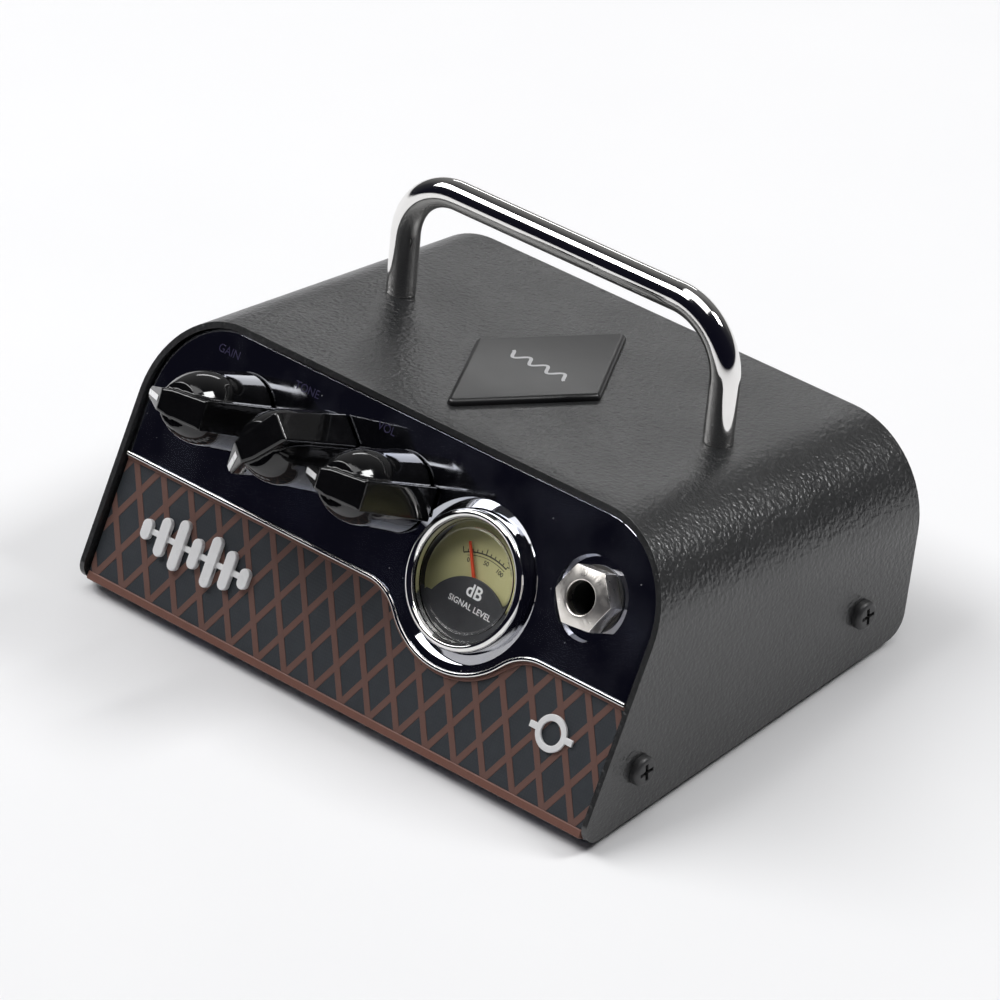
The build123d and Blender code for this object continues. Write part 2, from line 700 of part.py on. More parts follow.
def make_rear_jack(x):
    return rear.location * Pos(x, REAR_ROW, 0) * make_jack(rear_face, rear_back, -0.2, 18.0)


def make_rear_nut(x):
    nut = hex_nut(12.0, rear_face, -0.4, JACK_BUSHING)
    return rear.location * Pos(x, REAR_ROW, 0) * nut


def make_inlet():
    case = block((-4.8, 4.8), (-5.5, 5.5), (rear_back - 12, rear_back))
    inlet = case + disc(INLET_RADIUS, rear_back, rear_face + 0.6)
    inlet -= disc(INLET_BORE, rear_back - 8, 1)
    return rear.location * Pos(INLET_X, REAR_ROW, 0) * inlet


def make_inlet_pin():
    pin = fillet(disc(1.0, rear_back - 8, rear_face - 0.4).edges().group_by(Axis.Z)[-1], 0.6)
    return rear.location * Pos(INLET_X, REAR_ROW, 0) * pin


def make_switch_bodies():
    """Cases of the slide switches, each hollow where its lever runs."""
    case = block((-6.0, 6.0), (-3.2, 3.2), (rear_back - 6.0, rear_back))
    case -= switch_slot(rear_back - 5.0)
    return group(rear.location * Pos(x, REAR_ROW, 0) * case for x in switch_columns())


def make_switch_lever(x, offset):
    lever = block((-1.1, 1.1), (-1.0, 1.0), (rear_back - 4.7, -0.6))
    lever = fillet(lever.edges().group_by(Axis.Z)[-1], 0.3)
    return rear.location * Pos(x + offset, REAR_ROW, 0) * lever


# ---------------------------------------------------------------- boards and parts inside

def make_standoffs():
    return group(ring(2.6, STANDOFF_BORE, chassis_top, BOARD_Z, x, y) for x, y in standoff_places())


def make_board_screws():
    screw = pan_screw(2.3, 1.5, 1.15, 4.5)
    return group(Pos(x, y, board_top) * screw for x, y in standoff_places())


def make_main_board():
    board = block((-BOARD_HALF, BOARD_HALF), (BOARD_FRONT, BOARD_BACK), (BOARD_Z, board_top))
    for x, y in standoff_places():
        board -= disc(1.3, BOARD_Z - 1, board_top + 1, x, y)
    return board


def make_heat_sink():
    """Extruded block of upright fins over the power amplifier chip."""
    seat = board_top + CHIP_HEIGHT
    left, right = SINK_SPAN
    sink = block(SINK_SPAN, SINK_DEPTH, (seat, seat + 2.4))
    for index in range(SINK_FINS):
        x = left + index * (right - left - SINK_FIN) / (SINK_FINS - 1)
        sink += block((x, x + SINK_FIN), SINK_DEPTH, (seat + 2.4, seat + 10.3))
    return sink


def make_amplifier_chip():
    return block((-43, -29), (42, 52), (board_top, board_top + CHIP_HEIGHT))


def make_capacitors():
    can = fillet(disc(4.4, 0, 11.0).edges().group_by(Axis.Z)[-1], 0.6)
    return group(Pos(-6 + CAPACITOR_PITCH * index, CAPACITOR_Y, board_top) * can for index in range(4))


def make_chokes():
    """Ring chokes of the output filter."""
    core = fillet(ring(6.5, 3.2, 0, 6.0).edges(), 1.2)
    return group(Pos(x, CAPACITOR_Y, board_top) * core for x in (-40, -24))


def make_tube_cradle():
    """Rubber blocks that keep knocks away from the glass tube."""
    return group(block((x, x + 7), (38, 56), (board_top, TUBE_SEAT)) for x in (-3, 30))


def make_tube():
    """Flat sealed glass envelope of the thin vacuum tube."""
    glass = block((-6, 39), (39, 55), (TUBE_SEAT + TUBE_BOARD, TUBE_SEAT + 6.6))
    return fillet(glass.edges().filter_by(Axis.Z), 1.0)


def make_tube_board():
    return block((-7, 40), (37, 57), (TUBE_SEAT, TUBE_SEAT + TUBE_BOARD))


def make_control_board():
    """Raked board that carries the three potentiometers."""
    return front.location * block((-52, 8), (38.5, 54.0), (control_board_low, control_board_top))


def make_headers():
    """Two sockets joined by the ribbon cable."""
    across = (RIBBON_S - 2, RIBBON_S + 2)
    upper = front.location * block(HEADER_SPAN, across, (control_board_low - 3.0, control_board_low))
    lower = block(HEADER_SPAN, (RIBBON_Y - 2, RIBBON_Y + 2), (board_top, board_top + 3.5))
    return group([upper, lower])


def make_ribbon():
    """Flat cable from the raked board down to the main board."""
    start = front.from_local_coords((RIBBON_X, RIBBON_S, control_board_low - 3.0))
    turn = front.from_local_coords((RIBBON_X, RIBBON_S, control_board_low - 9.0))
    foot = Vector(RIBBON_X, RIBBON_Y, board_top + 3.5)
    path = FilletPolyline(start, turn, foot + Vector(0, 0, 6), foot, radius=1.8)
    band = Plane(origin=path @ 0, x_dir=(1, 0, 0), z_dir=path % 0) * Rectangle(16, 0.7)
    return sweep(band, path=path)


# ---------------------------------------------------------------- the whole amplifier

def make_parts():
    """Every node by name, in the design frame."""
    parts = {
        "top_cover": make_cover(),
        "handle": make_handle(),
        "handle_washers": make_handle_washers(),
        "handle_screws": make_handle_screws(),
        "side_screws": make_side_screws(),
        "top_badge": make_badge(),
        "front_panel": make_front_panel(),
        "chrome_lip": make_lip(),
        "grille_piping": make_piping(),
        "grille_board": make_grille(),
        "wave_emblem": make_emblem(),
        "side_mark": make_side_mark(),
        "meter_bezel": make_meter_bezel(),
        "meter_glass": make_meter_glass(),
        "meter_mask": make_meter_mask(),
        "meter_dial": make_meter_dial(),
        "meter_housing": make_meter_housing(),
        "meter_movement": make_meter_movement(),
        "meter_needle": make_meter_needle(),
        "meter_retainer": make_meter_retainer(),
        "pot_washers": make_pot_washers(),
        "pot_nuts": make_pot_nuts(),
        "input_jack": make_input_jack(),
        "input_washer": make_input_washer(),
        "input_nut": make_input_nut(),
        "base_chassis": make_chassis(),
        "clinch_nuts": make_clinch_nuts(),
        "feet": make_feet(),
        "feet_screws": make_feet_screws(),
        "front_panel_screws": make_panel_screws(),
        "rear_panel": make_rear_panel(),
        "rear_panel_screws": make_rear_screws(),
        "output_jacks": group(make_rear_jack(x) for x in (SPEAKER_X, PHONES_X)),
        "output_nuts": group(make_rear_nut(x) for x in (SPEAKER_X, PHONES_X)),
        "dc_inlet": make_inlet(),
        "dc_pin": make_inlet_pin(),
        "switch_bodies": make_switch_bodies(),
        "board_standoffs": make_standoffs(),
        "board_screws": make_board_screws(),
        "main_board": make_main_board(),
        "heat_sink": make_heat_sink(),
        "amplifier_chip": make_amplifier_chip(),
        "capacitors": make_capacitors(),
        "filter_chokes": make_chokes(),
        "tube_cradle": make_tube_cradle(),
        "tube_board": make_tube_board(),
        "flat_tube": make_tube(),
        "control_board": make_control_board(),
        "ribbon_headers": make_headers(),
        "ribbon_cable": make_ribbon(),
    }
    for index, name in enumerate(KNOB_NAMES):
        parts[f"{name}_knob"] = at_knob(index, Rot(0, 0, KNOB_HEADINGS[index]) * make_knob())
        parts[f"{name}_shaft"] = at_knob(index, Rot(0, 0, KNOB_HEADINGS[index]) * make_pot_shaft())
    parts["potentiometers"] = group(at_knob(index, make_pot()) for index in range(3))
    for name, (x, offset) in SLIDE_SWITCHES.items():
        parts[f"{name}_lever"] = make_switch_lever(x, offset)
    return parts


def ground_shift(parts):
    """Move that puts the origin at the centre of the bottom of the box round all the parts."""
    box = Compound(children=[part.moved(Location()) for part in parts.values()]).bounding_box()
    return Vector(-(box.min.X + box.max.X) / 2, -(box.min.Y + box.max.Y) / 2, -box.min.Z)


design = make_parts()
shift = ground_shift(design)
os.makedirs("parts", exist_ok=True)
for name, part in design.items():
    placed = part.moved(Location(shift))
    placed.label = name
    export_step(placed, f"parts/{name}.step")
print("nodes", len(design), "shift", shift)
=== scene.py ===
"""Looks of the compact guitar amplifier head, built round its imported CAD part.

Shapes are worked out in millimetres in the frame of the face they lie on and then placed in the row frame.
"""

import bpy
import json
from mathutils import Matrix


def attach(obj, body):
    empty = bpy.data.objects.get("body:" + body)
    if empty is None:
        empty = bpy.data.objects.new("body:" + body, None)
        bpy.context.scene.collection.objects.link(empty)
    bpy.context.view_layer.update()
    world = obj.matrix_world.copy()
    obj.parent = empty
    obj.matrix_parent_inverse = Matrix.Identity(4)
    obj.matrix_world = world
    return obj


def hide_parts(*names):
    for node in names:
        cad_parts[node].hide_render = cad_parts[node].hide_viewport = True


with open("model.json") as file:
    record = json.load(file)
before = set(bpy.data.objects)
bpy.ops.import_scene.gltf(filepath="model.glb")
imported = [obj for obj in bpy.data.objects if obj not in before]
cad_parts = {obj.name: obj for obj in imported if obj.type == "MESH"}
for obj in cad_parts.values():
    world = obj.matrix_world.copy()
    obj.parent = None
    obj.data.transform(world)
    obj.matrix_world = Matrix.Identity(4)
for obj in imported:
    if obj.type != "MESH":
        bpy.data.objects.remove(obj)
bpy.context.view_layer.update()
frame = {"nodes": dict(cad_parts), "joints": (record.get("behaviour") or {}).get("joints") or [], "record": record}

import json
from math import atan2, cos, pi, radians, sin, sqrt

import bmesh
import bpy
from mathutils import Matrix, Vector

MM = 0.001

# Height of a capital letter as a part of its font size
CAPITAL_HEIGHT = 0.73

# Sizes in millimetres and angles in degrees, most of them shared with the CAD part
FRONT_SLOPE = 61.8
ROOF_LENGTH = 73.5
REAR_DROP = 21.0
REAR_FACE = -2.5
KNOB_PITCH = 20.6
KNOB_S = 46.3
KNOB_HEIGHT = 20.5
KNOB_HEADINGS = {"gain": 184.0, "tone": 228.0, "volume": 184.0}
POINTER_ROOT = 3.4
POINTER_FALL = 5.0 / 6.7
PRINT_THICKNESS = 0.02
PANEL_FACE = -0.8
METER = (21.9, 36.8)
GRILLE_TOP = 29.6
GRILLE_BOTTOM = 4.3
GRILLE_HALF = 64.0
GRILLE_FACE = -1.6
DIP_RADIUS = 17.2
DIP_FILLET = 11.5
BORDER = 1.3
HANDLE_CENTRE = 0.6
HANDLE_HALF = 40.6
HANDLE_T = 38.0
HANDLE_RISE = 25.81
HANDLE_LEAN = 2.9
HANDLE_ROD = 3.0
HANDLE_BEND = 13.0
HANDLE_BEND_STEPS = 64
BEZEL_RADIUS = 13.6
BEZEL_CREST = 1.4
BEZEL_SEAT = 1.8
GLASS_STEP = 10.2
GLASS_EDGE = 11.55
GLASS_FACE = -0.6
GLASS_BACK = -1.7
BADGE = (0.3, 32.9)
BADGE_HALF_WIDTH = 15.8
BADGE_HALF_LENGTH = 27.1
BADGE_TOP = 1.25
BADGE_CORNER = 1.3
BADGE_ROUND = 1.0

# Where the camera stands and looks, in millimetres, and its lens
CAMERA_PLACE = (618.5, -697.05, 645.5)
CAMERA_AIM = (10.9, -12.45, 35.8)
CAMERA_LENS = 208.2
CAMERA_SENSOR = 36.0
LIGHT_AIM_HEIGHT = 30.0


# ---------------------------------------------------------------- frames

def face_frame(origin, x_axis, z_axis):
    """Matrix from millimetres on a face to metres in the row frame."""
    z = Vector(z_axis).normalized()
    x = Vector(x_axis).normalized()
    y = z.cross(x)
    matrix = Matrix((x, y, z)).transposed().to_4x4()
    matrix.translation = Vector(origin)
    return matrix @ Matrix.Scale(MM, 4)


joints = {joint["name"]: joint for joint in frame["joints"]}
mounts = {mount["name"]: mount for mount in frame["record"]["mounts"]}
front_axis = Vector(joints["gain_turn"]["axis"])
roof_back = Vector(mounts["speaker_out_bore"]["axis"])
gain_place = face_frame(joints["gain_turn"]["pos_m"], (1, 0, 0), front_axis)
front = gain_place @ Matrix.Translation((2 * KNOB_PITCH, -KNOB_S, 0))
ridge = front @ Vector((0, FRONT_SLOPE, 0))
roof = face_frame(ridge, (1, 0, 0), Vector((1, 0, 0)).cross(roof_back))
rear = face_frame(roof @ Vector((0, ROOF_LENGTH, -REAR_DROP)), (-1, 0, 0), roof_back)
meter = front @ Matrix.Translation((*METER, 0))


# ---------------------------------------------------------------- mesh helpers

def piece(name, bm, material, body="case", replaces=(), place=None, sharp=38):
    """A mesh object in the row frame, smooth up to an angle, riding on a CAD body."""
    if place is not None:
        bm.transform(place)
    bmesh.ops.recalc_face_normals(bm, faces=bm.faces)
    mesh = bpy.data.meshes.new(name)
    bm.to_mesh(mesh)
    bm.free()
    mesh.materials.append(material)
    mesh.shade_smooth()
    mesh.set_sharp_from_angle(angle=radians(sharp))
    obj = bpy.data.objects.new(name, mesh)
    bpy.context.scene.collection.objects.link(obj)
    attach(obj, body)
    if replaces:
        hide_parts(*replaces)
    return obj


def round_edges(obj, width, segments=3, angle=30):
    """Turns every edge sharper than an angle into a small round one."""
    bevel = obj.modifiers.new("edges", "BEVEL")
    bevel.width = width * MM
    bevel.segments = segments
    bevel.limit_method = "ANGLE"
    bevel.angle_limit = radians(angle)
    bevel.harden_normals = True
    shading = obj.modifiers.new("shading", "WEIGHTED_NORMAL")
    shading.keep_sharp = False
    return obj


def cad_shape(node, flat=0.4):
    """Mesh of a CAD node with its seams welded and its flat faces made whole."""
    source = frame["nodes"][node].data
    bm = bmesh.new()
    corners = [bm.verts.new(vertex.co) for vertex in source.vertices]
    for polygon in source.polygons:
        bm.faces.new([corners[index] for index in polygon.vertices])
    bmesh.ops.remove_doubles(bm, verts=bm.verts, dist=1e-6)
    bmesh.ops.dissolve_limit(bm, angle_limit=radians(flat), verts=bm.verts, edges=bm.edges)
    return bm


def refined(node, name, material, body="case", edge=0.15, segments=3, angle=30):
    """A piece that stands for a CAD node, with its edges rounded."""
    obj = piece(name, cad_shape(node), material, body, (node,), sharp=180)
    return round_edges(obj, edge, segments, angle)


def lathe(profile, steps=96):
    """Closed (radius, height) outline turned round the local z axis."""
    bm = bmesh.new()
    rings = []
    for step in range(steps):
        turn = 2 * pi * step / steps
        rings.append([bm.verts.new((r * cos(turn), r * sin(turn), z)) for r, z in profile])
    for step in range(steps):
        here, there = rings[step], rings[(step + 1) % steps]
        for index in range(len(profile)):
            after = (index + 1) % len(profile)
            bm.faces.new((here[index], there[index], there[after], here[after]))
    bmesh.ops.remove_doubles(bm, verts=bm.verts, dist=1e-5)
    return bm


def prism(outline, low, high):
    """Flat outline of (x, y) points given a thickness."""
    bm = bmesh.new()
    bottom = [bm.verts.new((x, y, low)) for x, y in outline]
    top = [bm.verts.new((x, y, high)) for x, y in outline]
    bm.faces.new(top)
    bm.faces.new(bottom[::-1])
    count = len(outline)
    for index in range(count):
        after = (index + 1) % count
        bm.faces.new((bottom[index], bottom[after], top[after], top[index]))
    return bm


def joined(shapes):
    """Several bmeshes as one; the given ones are used up."""
    bm = bmesh.new()
    for shape in shapes:
        mesh = bpy.data.meshes.new("joining")
        shape.to_mesh(mesh)
        shape.free()
        bm.from_mesh(mesh)
        bpy.data.meshes.remove(mesh)
    return bm


def arc_points(x, y, radius, start, end, steps, squash=1.0):
    """Points along an arc, angles in degrees, its height multiplied by squash."""
    turns = [radians(start + (end - start) * step / steps) for step in range(steps + 1)]
    return [(x + radius * cos(turn), y + squash * radius * sin(turn)) for turn in turns]


def stroke(points, width, low, high):
    """Band of constant width along an open line of (x, y) points."""
    left, right = [], []
    for index, (x, y) in enumerate(points):
        before = points[max(index - 1, 0)]
        after = points[min(index + 1, len(points) - 1)]
        along = Vector((after[0] - before[0], after[1] - before[1])).normalized() * width / 2
        left.append((x - along.y, y + along.x))
        right.append((x + along.y, y - along.x))
    bm = bmesh.new()
    rows = [[bm.verts.new((x, y, z)) for x, y in side] for side in (left, right) for z in (low, high)]
    left_low, left_high, right_low, right_high = rows
    around = [left_low, left_high, right_high, right_low]
    for index in range(len(points) - 1):
        after = index + 1
        for here, there in zip(around, around[1:] + around[:1]):
            bm.faces.new((here[index], here[after], there[after], there[index]))
    for index in (0, -1):
        bm.faces.new([row[index] for row in around])
    return bm


def lettering(text, height, x, y, low, high, turn=0.0, spread=1.0, weight=0.0):
    """Raised print of a short text, centred at a point."""
    curve = bpy.data.curves.new("print", "FONT")
    curve.body = text
    curve.size = height / CAPITAL_HEIGHT
    curve.align_x = "CENTER"
    curve.align_y = "CENTER"
    curve.space_character = spread
    curve.extrude = (high - low) / 2
    curve.offset = weight
    curve.resolution_u = 4
    holder = bpy.data.objects.new("print", curve)
    bpy.context.scene.collection.objects.link(holder)
    graph = bpy.context.evaluated_depsgraph_get()
    mesh = bpy.data.meshes.new_from_object(holder.evaluated_get(graph))
    bm = bmesh.new()
    bm.from_mesh(mesh)
    bpy.data.objects.remove(holder)
    bpy.data.meshes.remove(mesh)
    bmesh.ops.remove_doubles(bm, verts=bm.verts, dist=1e-4)
    bm.transform(Matrix.Translation((x, y, (low + high) / 2)) @ Matrix.Rotation(radians(turn), 4, "Z"))
    return bm


def sweep(path, radius, steps=48):
    """Round rod along a list of points in space, its ends closed."""
    bm = bmesh.new()
    rings = []
    side = Vector((0, 1, 0))
    for index, point in enumerate(path):
        along = (path[min(index + 1, len(path) - 1)] - path[max(index - 1, 0)]).normalized()
        out = along.cross(side).normalized()
        turns = [2 * pi * step / steps for step in range(steps)]
        rings.append([bm.verts.new(point + radius * (cos(t) * side + sin(t) * out)) for t in turns])
    for here, there in zip(rings, rings[1:]):
        for step in range(steps):
            after = (step + 1) % steps
            bm.faces.new((here[step], here[after], there[after], there[step]))
    bm.faces.new(rings[0])
    bm.faces.new(rings[-1])
    return bm


# ---------------------------------------------------------------- material helpers

def new_material(name, colour, roughness, metallic=0.0, **extra):
    """Principled material with its constant values set; returns (material, tree, shader)."""
    material = bpy.data.materials.new(name)
    material.use_nodes = True
    material.diffuse_color = (*colour, 1)
    tree = material.node_tree
    shader = tree.nodes["Principled BSDF"]
    shader.inputs["Base Color"].default_value = (*colour, 1)
    shader.inputs["Roughness"].default_value = roughness
    shader.inputs["Metallic"].default_value = metallic
    for socket, value in extra.items():
        shader.inputs[socket.replace("_", " ")].default_value = value
    return material, tree, shader


def coordinates(tree, stretch=(1, 1, 1), turn=(0, 0, 0)):
    """Object coordinates, stretched and turned."""
    source = tree.nodes.new("ShaderNodeTexCoord")
    mapping = tree.nodes.new("ShaderNodeMapping")
    mapping.inputs["Scale"].default_value = stretch
    mapping.inputs["Rotation"].default_value = turn
    tree.links.new(source.outputs["Object"], mapping.inputs["Vector"])
    return mapping.outputs["Vector"]


def noise(tree, vector, size, detail=3.0, roughness=0.5):
    """Noise whose lumps are about size millimetres across."""
    node = tree.nodes.new("ShaderNodeTexNoise")
    node.inputs["Scale"].default_value = 1 / (size * MM)
    node.inputs["Detail"].default_value = detail
    node.inputs["Roughness"].default_value = roughness
    tree.links.new(vector, node.inputs["Vector"])
    return node.outputs["Fac"]


def cells(tree, vector, size, feature="F1", spread=1.0):
    """Distance in a pattern of cells about size millimetres across."""
    node = tree.nodes.new("ShaderNodeTexVoronoi")
    node.feature = feature
    node.inputs["Scale"].default_value = 1 / (size * MM)
    node.inputs["Randomness"].default_value = spread
    tree.links.new(vector, node.inputs["Vector"])
    return node.outputs["Distance"]


def ranged(tree, value, low, high, out_low=0.0, out_high=1.0):
    """Maps a value's range onto another, clamped."""
    node = tree.nodes.new("ShaderNodeMapRange")
    node.inputs["From Min"].default_value = low
    node.inputs["From Max"].default_value = high
    node.inputs["To Min"].default_value = out_low
    node.inputs["To Max"].default_value = out_high
    tree.links.new(value, node.inputs["Value"])
    return node.outputs["Result"]


def blended(tree, factor, first, second):
    """Colour between two colours or colour sockets."""
    node = tree.nodes.new("ShaderNodeMix")
    node.data_type = "RGBA"
    tree.links.new(factor, node.inputs["Factor"])
    for socket, value in (("A", first), ("B", second)):
        target = [entry for entry in node.inputs if entry.name == socket and entry.type == "RGBA"][0]
        if isinstance(value, tuple):
            target.default_value = (*value, 1)
        else:
            tree.links.new(value, target)
    return [entry for entry in node.outputs if entry.type == "RGBA"][0]


def bump(tree, shader, height, depth, strength=1.0, under=None):
    """Adds relief of a depth in millimetres to a shader."""
    node = tree.nodes.new("ShaderNodeBump")
    node.inputs["Strength"].default_value = strength
    node.inputs["Distance"].default_value = depth * MM
    tree.links.new(height, node.inputs["Height"])
    if under is not None:
        tree.links.new(under, node.inputs["Normal"])
    tree.links.new(node.outputs["Normal"], shader.inputs["Normal"])
    return node.outputs["Normal"]


def textured(name, colour, other, roughness, grain, depth, metallic=0.0, stretch=(1, 1, 1), **extra):
    """Everyday material: mottled colour, uneven gloss and a fine grain, sizes in millimetres."""
    material, tree, shader = new_material(name, colour, roughness, metallic, **extra)
    vector = coordinates(tree, stretch)
    mottle = noise(tree, vector, grain * 6, 4.0)
    fine = noise(tree, vector, grain, 2.0)
    tree.links.new(blended(tree, mottle, colour, other), shader.inputs["Base Color"])
    uneven = ranged(tree, mottle, 0.3, 0.7, roughness * 0.8, min(roughness * 1.2, 1.0))
    tree.links.new(uneven, shader.inputs["Roughness"])
    bump(tree, shader, fine, depth)
    return material


def cover_paint():
    """Black textured powder coat: rounded grains under a millimetre across, with a satin gloss."""
    material, tree, shader = new_material("cover_paint", (0.016, 0.0165, 0.017), 0.33, IOR=1.7)
    vector = coordinates(tree)
    grains = cells(tree, vector, 1.0, "SMOOTH_F1")
    lumps = noise(tree, vector, 0.7, 2.0, 0.5)
    fine = noise(tree, vector, 0.35, 2.0)
    mottle = noise(tree, vector, 14.0, 3.0)
    black = blended(tree, lumps, (0.013, 0.0135, 0.014), (0.02, 0.0205, 0.021))
    tree.links.new(black, shader.inputs["Base Color"])
    tree.links.new(ranged(tree, mottle, 0.3, 0.7, 0.28, 0.35), shader.inputs["Roughness"])
    first = bump(tree, shader, grains, 0.17, 0.7)
    second = bump(tree, shader, lumps, 0.17, 0.8, first)
    bump(tree, shader, fine, 0.03, 0.4, second)
    return material


def panel_gloss():
    """Dark mirror plating with faint bluish finger smears and dust."""
    colour = (0.5, 0.51, 0.55)
    material, tree, shader = new_material("panel_gloss", colour, 0.05, 1.0)
    vector = coordinates(tree)
    smear = noise(tree, vector, 16.0, 3.0, 0.5)
    streak = noise(tree, coordinates(tree, (1, 0.3, 0.3), (0, 0, 0.5)), 5.0, 3.0, 0.6)
    patches = ranged(tree, smear, 0.45, 0.8, 1.0, 0.95)
    dust = ranged(tree, cells(tree, vector, 3.6), 0.02, 0.045)
    body = blended(tree, ranged(tree, smear, 0.45, 0.8), colour, (0.33, 0.37, 0.52))
    tree.links.new(blended(tree, dust, (0.3, 0.3, 0.32), body), shader.inputs["Base Color"])
    plated = tree.nodes.new("ShaderNodeMath")
    plated.operation = "MULTIPLY"
    tree.links.new(patches, plated.inputs[0])
    tree.links.new(dust, plated.inputs[1])
    tree.links.new(plated.outputs["Value"], shader.inputs["Metallic"])
    tree.links.new(ranged(tree, streak, 0.45, 0.75, 0.03, 0.14), shader.inputs["Roughness"])
    bump(tree, shader, noise(tree, vector, 7.0, 1.0), 0.02, 0.2)
    return material


def chrome():
    """Polished plating with very fine wipe marks."""
    material, tree, shader = new_material("chrome", (0.83, 0.82, 0.81), 0.05, 1.0)
    vector = coordinates(tree, (1, 6, 6))
    smear = noise(tree, coordinates(tree), 6.0, 4.0, 0.6)
    tree.links.new(ranged(tree, smear, 0.35, 0.75, 0.03, 0.11), shader.inputs["Roughness"])
    plating = blended(tree, smear, (0.86, 0.85, 0.84), (0.76, 0.75, 0.73))
    tree.links.new(plating, shader.inputs["Base Color"])
    bump(tree, shader, noise(tree, vector, 1.2, 3.0), 0.002, 0.25)
    return material


def grille_cloth():
    """Slate ground of the grille: a fine over-and-under weave."""
    threads_per_metre = 520
    material, tree, shader = new_material("grille_cloth", (0.02, 0.025, 0.031), 0.62)
    vector = coordinates(tree)
    warp = tree.nodes.new("ShaderNodeTexWave")
    weft = tree.nodes.new("ShaderNodeTexWave")
    for node, direction in ((warp, "X"), (weft, "Z")):
        node.bands_direction = direction
        node.inputs["Scale"].default_value = threads_per_metre
        node.inputs["Distortion"].default_value = 0.6
        tree.links.new(vector, node.inputs["Vector"])
    weave = tree.nodes.new("ShaderNodeMath")
    weave.operation = "MULTIPLY"
    tree.links.new(warp.outputs["Fac"], weave.inputs[0])
    tree.links.new(weft.outputs["Fac"], weave.inputs[1])
    mottle = noise(tree, vector, 2.5, 4.0, 0.65)
    ground = blended(tree, mottle, (0.013, 0.017, 0.022), (0.032, 0.038, 0.046))
    woven = blended(tree, weave.outputs["Value"], ground, (0.026, 0.031, 0.038))
    tree.links.new(woven, shader.inputs["Base Color"])
    bump(tree, shader, weave.outputs["Value"], 0.05, 0.5)
    return material


def grille_brown(name, colour, darker):
    """Brown moulded lines and piping: satin with a fine uneven grain."""
    return textured(name, colour, darker, 0.46, 0.5, 0.02)


def badge_paint():
    """Satin black plate, nearly even, with a grain much finer than the roof's."""
    material, tree, shader = new_material("badge_black", (0.012, 0.012, 0.0125), 0.2)
    vector = coordinates(tree)
    mottle = noise(tree, vector, 8.0, 4.0, 0.6)
    black = blended(tree, mottle, (0.009, 0.009, 0.0095), (0.012, 0.012, 0.0125))
    tree.links.new(black, shader.inputs["Base Color"])
    tree.links.new(ranged(tree, mottle, 0.35, 0.7, 0.28, 0.31), shader.inputs["Roughness"])
    bump(tree, shader, noise(tree, vector, 0.8, 2.0), 0.01, 0.4)
    return material


def knob_gloss():
    """Glossy black thermoset with faint swirls."""
    material, tree, shader = new_material("knob_gloss", (0.003, 0.003, 0.0032), 0.07, 0.0, IOR=1.55)
    vector = coordinates(tree)
    swirl = noise(tree, vector, 3.0, 4.0, 0.6)
    black = blended(tree, swirl, (0.002, 0.002, 0.0022), (0.006, 0.006, 0.0065))
    tree.links.new(black, shader.inputs["Base Color"])
    tree.links.new(ranged(tree, swirl, 0.4, 0.75, 0.05, 0.13), shader.inputs["Roughness"])
    bump(tree, shader, noise(tree, vector, 2.4, 1.0), 0.008, 0.3)
    return material


def brushed(name, colour, roughness, scratch=0.12):
    """Plated steel with fine tool marks."""
    material, tree, shader = new_material(name, colour, roughness, 1.0)
    marks = noise(tree, coordinates(tree, (1, 1, 9)), scratch * 8, 4.0, 0.7)
    uneven = ranged(tree, marks, 0.3, 0.7, roughness * 0.75, roughness * 1.3)
    tree.links.new(uneven, shader.inputs["Roughness"])
    shade = tuple(part * 0.86 for part in colour)
    tree.links.new(blended(tree, marks, colour, shade), shader.inputs["Base Color"])
    bump(tree, shader, marks, 0.006, 0.4)
    return material


def clear(name, tint, roughness, ior):
    """Clear glass or plastic that lets light through to what is behind it."""
    material, tree, shader = new_material(name, tint, roughness, 0.0, Transmission_Weight=1.0, IOR=ior)
    vector = coordinates(tree)
    smudge = noise(tree, vector, 4.0, 3.0)
    tree.links.new(ranged(tree, smudge, 0.4, 0.8, roughness, roughness + 0.05), shader.inputs["Roughness"])
    output = tree.nodes["Material Output"]
    path = tree.nodes.new("ShaderNodeLightPath")
    through = tree.nodes.new("ShaderNodeBsdfTransparent")
    mix = tree.nodes.new("ShaderNodeMixShader")
    tree.links.new(path.outputs["Is Shadow Ray"], mix.inputs["Fac"])
    tree.links.new(shader.outputs["BSDF"], mix.inputs[1])
    tree.links.new(through.outputs["BSDF"], mix.inputs[2])
    tree.links.new(mix.outputs["Shader"], output.inputs["Surface"])
    return material


def circuit_board():
    """Green solder mask with copper tracks showing faintly through it."""
    green = (0.01, 0.07, 0.03)
    material, tree, shader = new_material("circuit_board", green, 0.32)
    vector = coordinates(tree)
    tracks = ranged(tree, cells(tree, vector, 4.0, "DISTANCE_TO_EDGE", 0.7), 0.05, 0.09)
    mottle = noise(tree, vector, 9.0)
    base = blended(tree, mottle, green, (0.014, 0.09, 0.04))
    tree.links.new(blended(tree, tracks, (0.03, 0.15, 0.05), base), shader.inputs["Base Color"])
    bump(tree, shader, tracks, 0.03, 0.5)
    return material


# ---------------------------------------------------------------- materials

